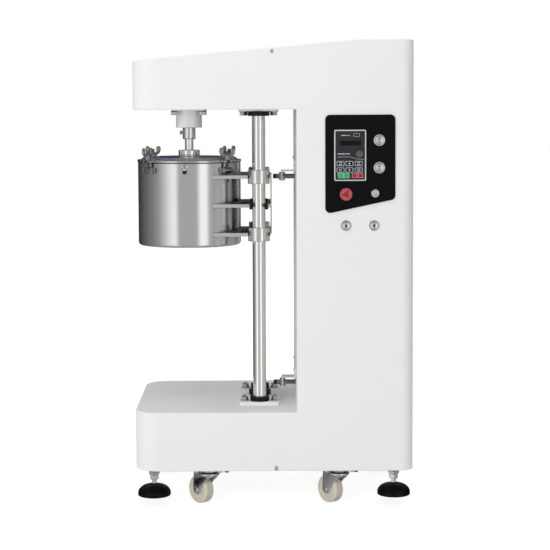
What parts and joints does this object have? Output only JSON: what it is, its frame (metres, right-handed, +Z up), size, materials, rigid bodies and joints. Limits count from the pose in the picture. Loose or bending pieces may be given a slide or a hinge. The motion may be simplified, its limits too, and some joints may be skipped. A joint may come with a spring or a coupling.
{
  "type": "stirred ball mill",
  "caption": "Floor-standing stirred ball mill: C-shaped cabinet on casters, lifted jar with clamped lid, stirring spindle and control panel.",
  "frame": {"origin": "on the floor, below the middle of the outline", "axes": "+X right and +Y away, seen from the panel side; +Z up"},
  "size_m": [0.6315, 0.4562, 1.0535],
  "materials": {
    "white_paint": "smooth satin powder coat",
    "zinc": "bright zinc plate",
    "ground_steel": "ground and hard chromed",
    "turned_steel": "fine turned",
    "satin_steel": "satin stainless sheet",
    "jar_steel": "brushed round the jar",
    "fitting_steel": "polished stainless castings",
    "black_steel": "blackened",
    "motor_paint": "grey enamel",
    "belt_rubber": "flat belt",
    "black_panel": "black anodised",
    "silver_trim": "satin",
    "keypad_grey": "moulded",
    "button_steel": "turned and polished",
    "sensor_metal": "nickel-plated brass with a black tip",
    "bracket_paint": "light grey",
    "pulley_metal": "machined",
    "seal_rubber": "moulded",
    "green_key": "moulded",
    "red_key": "moulded",
    "stop_red": "glossy",
    "knob_black": "moulded",
    "wheel_nylon": "natural nylon",
    "foot_black": "moulded on a steel stem"
  },
  "bodies": {
    "cabinet": {"cabinet_shell": "white_paint", "rear_cover": "white_paint", "cover_screws": "zinc", "spindle_housing": "white_paint", "bearings": "ground_steel", "hex_fasteners": "zinc", "main_motor": "motor_paint", "drive_belt": "belt_rubber", "pillar_plates": "zinc", "guide_pillars": "ground_steel", "pillar_flanges": "black_steel", "lift_motor": "motor_paint", "control_panel": "black_panel", "keypad_frame": "silver_trim", "keypad_face": "keypad_grey", "button_bezels": "button_steel", "limit_sensors": "sensor_metal", "sensor_brackets": "bracket_paint", "caster_plates": "zinc"},
    "spindle": {"spindle_shaft": "ground_steel", "spindle_pulley": "pulley_metal", "coupling_sleeve": "ground_steel"},
    "motor_rotor": {"motor_rotor": "pulley_metal"},
    "lead_screw": {"lead_screw": "ground_steel"},
    "carrier": {"carrier_frame": "satin_steel", "guide_collars": "turned_steel", "lift_nut": "black_steel", "jar": "jar_steel", "jar_lid": "jar_steel", "lid_seals": "seal_rubber", "gland_nut": "turned_steel", "vent_elbow": "turned_steel"},
    "stirrer": {"stirrer_shaft": "ground_steel", "stirrer_arms": "ground_steel"},
    "swing_bolt_1": {"swing_bolt_1": "fitting_steel"},
    "swing_bolt_2": {"swing_bolt_2": "fitting_steel"},
    "swing_bolt_3": {"swing_bolt_3": "fitting_steel"},
    "swing_bolt_4": {"swing_bolt_4": "fitting_steel"},
    "start_key": {"start_key": "green_key"},
    "stop_key": {"stop_key": "red_key"},
    "power_button": {"power_button": "button_steel"},
    "light_button": {"light_button": "button_steel"},
    "raise_button": {"raise_button": "button_steel"},
    "lower_button": {"lower_button": "button_steel"},
    "emergency_stop": {"emergency_stop": "stop_red"},
    "mode_switch": {"mode_switch": "button_steel"},
    "speed_knob": {"speed_knob": "knob_black"},
    "caster_fork_1": {"caster_fork_1": "zinc"},
    "caster_fork_2": {"caster_fork_2": "zinc"},
    "caster_fork_3": {"caster_fork_3": "zinc"},
    "caster_fork_4": {"caster_fork_4": "zinc"},
    "caster_wheel_1": {"caster_wheel_1": "wheel_nylon"},
    "caster_wheel_2": {"caster_wheel_2": "wheel_nylon"},
    "caster_wheel_3": {"caster_wheel_3": "wheel_nylon"},
    "caster_wheel_4": {"caster_wheel_4": "wheel_nylon"},
    "level_foot_1": {"level_foot_1": "foot_black"},
    "level_foot_2": {"level_foot_2": "foot_black"},
    "level_foot_3": {"level_foot_3": "foot_black"},
    "level_foot_4": {"level_foot_4": "foot_black"}
  },
  "joints": [
    {"name": "spindle_spin", "type": "hinge", "parent": "cabinet", "child": "spindle", "pos_m": [-0.195, -0.0131, 0.9], "axis": [0, 0, 1], "continuous": true},
    {"name": "motor_spin", "type": "hinge", "parent": "cabinet", "child": "motor_rotor", "pos_m": [0.185, -0.0131, 0.9], "axis": [0, 0, 1], "continuous": true},
    {"name": "carrier_lift", "type": "slide", "parent": "cabinet", "child": "carrier", "axis": [0, 0, 1], "range_m": [-0.345, 0]},
    {"name": "lead_screw_spin", "type": "hinge", "parent": "cabinet", "child": "lead_screw", "pos_m": [-0.032, -0.0131, 0.5], "axis": [0, 0, 1], "continuous": true},
    {"name": "stirrer_spin", "type": "hinge", "parent": "carrier", "child": "stirrer", "pos_m": [-0.195, -0.0131, 0.7], "axis": [0, 0, 1], "continuous": true},
    {"name": "swing_bolt_turn_1", "type": "hinge", "parent": "carrier", "child": "swing_bolt_1", "pos_m": [-0.10378, 0.07812, 0.761], "axis": [-0.7071, 0.7071, 0], "range_deg": [0, 90]},
    {"name": "swing_bolt_turn_2", "type": "hinge", "parent": "carrier", "child": "swing_bolt_2", "pos_m": [-0.28622, 0.07812, 0.761], "axis": [-0.7071, -0.7071, 0], "range_deg": [0, 90]},
    {"name": "swing_bolt_turn_3", "type": "hinge", "parent": "carrier", "child": "swing_bolt_3", "pos_m": [-0.28622, -0.10432, 0.761], "axis": [0.7071, -0.7071, 0], "range_deg": [0, 90]},
    {"name": "swing_bolt_turn_4", "type": "hinge", "parent": "carrier", "child": "swing_bolt_4", "pos_m": [-0.10378, -0.10432, 0.761], "axis": [0.7071, 0.7071, 0], "range_deg": [0, 90]},
    {"name": "start_key_press", "type": "slide", "parent": "cabinet", "child": "start_key", "axis": [0, 1, 0], "range_m": [0, 0.0008], "stiffness_N_per_m": 250},
    {"name": "stop_key_press", "type": "slide", "parent": "cabinet", "child": "stop_key", "axis": [0, 1, 0], "range_m": [0, 0.0008], "stiffness_N_per_m": 250},
    {"name": "power_button_press", "type": "slide", "parent": "cabinet", "child": "power_button", "axis": [0, 1, 0], "range_m": [0, 0.003], "stiffness_N_per_m": 600},
    {"name": "light_button_press", "type": "slide", "parent": "cabinet", "child": "light_button", "axis": [0, 1, 0], "range_m": [0, 0.003], "stiffness_N_per_m": 600},
    {"name": "raise_button_press", "type": "slide", "parent": "cabinet", "child": "raise_button", "axis": [0, 1, 0], "range_m": [0, 0.003], "stiffness_N_per_m": 600},
    {"name": "lower_button_press", "type": "slide", "parent": "cabinet", "child": "lower_button", "axis": [0, 1, 0], "range_m": [0, 0.003], "stiffness_N_per_m": 600},
    {"name": "emergency_stop_press", "type": "slide", "parent": "cabinet", "child": "emergency_stop", "axis": [0, 1, 0], "range_m": [0, 0.004], "stiffness_N_per_m": 1200},
    {"name": "mode_switch_turn", "type": "hinge", "parent": "cabinet", "child": "mode_switch", "pos_m": [0.2274, -0.21, 0.713], "axis": [0, 1, 0], "range_deg": [-45, 45]},
    {"name": "speed_knob_turn", "type": "hinge", "parent": "cabinet", "child": "speed_knob", "pos_m": [0.1923, -0.21, 0.8005], "axis": [0, 1, 0], "range_deg": [-140, 140]},
    {"name": "caster_swivel_1", "type": "hinge", "parent": "cabinet", "child": "caster_fork_1", "pos_m": [-0.148, -0.1661, 0.07], "axis": [0, 0, 1], "continuous": true},
    {"name": "caster_roll_1", "type": "hinge", "parent": "caster_fork_1", "child": "caster_wheel_1", "pos_m": [-0.1671, -0.14562, 0.0315], "axis": [0.7314, 0.682, 0], "continuous": true},
    {"name": "caster_swivel_2", "type": "hinge", "parent": "cabinet", "child": "caster_fork_2", "pos_m": [0.148, -0.1661, 0.07], "axis": [0, 0, 1], "continuous": true},
    {"name": "caster_roll_2", "type": "hinge", "parent": "caster_fork_2", "child": "caster_wheel_2", "pos_m": [0.12963, -0.14497, 0.0315], "axis": [0.7547, 0.6561, 0], "continuous": true},
    {"name": "caster_swivel_3", "type": "hinge", "parent": "cabinet", "child": "caster_fork_3", "pos_m": [-0.148, 0.1839, 0.07], "axis": [0, 0, 1], "continuous": true},
    {"name": "caster_roll_3", "type": "hinge", "parent": "caster_fork_3", "child": "caster_wheel_3", "pos_m": [-0.12061, 0.18972, 0.0315], "axis": [0.2079, -0.9781, 0], "continuous": true},
    {"name": "caster_swivel_4", "type": "hinge", "parent": "cabinet", "child": "caster_fork_4", "pos_m": [0.148, 0.1839, 0.07], "axis": [0, 0, 1], "continuous": true},
    {"name": "caster_roll_4", "type": "hinge", "parent": "caster_fork_4", "child": "caster_wheel_4", "pos_m": [0.12169, 0.19348, 0.0315], "axis": [0.342, 0.9397, 0], "continuous": true},
    {"name": "level_foot_screw_1", "type": "slide", "parent": "cabinet", "child": "level_foot_1", "axis": [0, 0, -1], "range_m": [0, 0.02]},
    {"name": "level_foot_screw_2", "type": "slide", "parent": "cabinet", "child": "level_foot_2", "axis": [0, 0, -1], "range_m": [0, 0.02]},
    {"name": "level_foot_screw_3", "type": "slide", "parent": "cabinet", "child": "level_foot_3", "axis": [0, 0, -1], "range_m": [0, 0.02]},
    {"name": "level_foot_screw_4", "type": "slide", "parent": "cabinet", "child": "level_foot_4", "axis": [0, 0, -1], "range_m": [0, 0.02]}
  ],
  "couplings": [
    {"joint": "motor_spin", "follows": "spindle_spin", "ratio": 1.3},
    {"joint": "stirrer_spin", "follows": "spindle_spin", "ratio": 1},
    {"joint": "lead_screw_spin", "follows": "carrier_lift", "rad_per_m": -628.32}
  ]
}
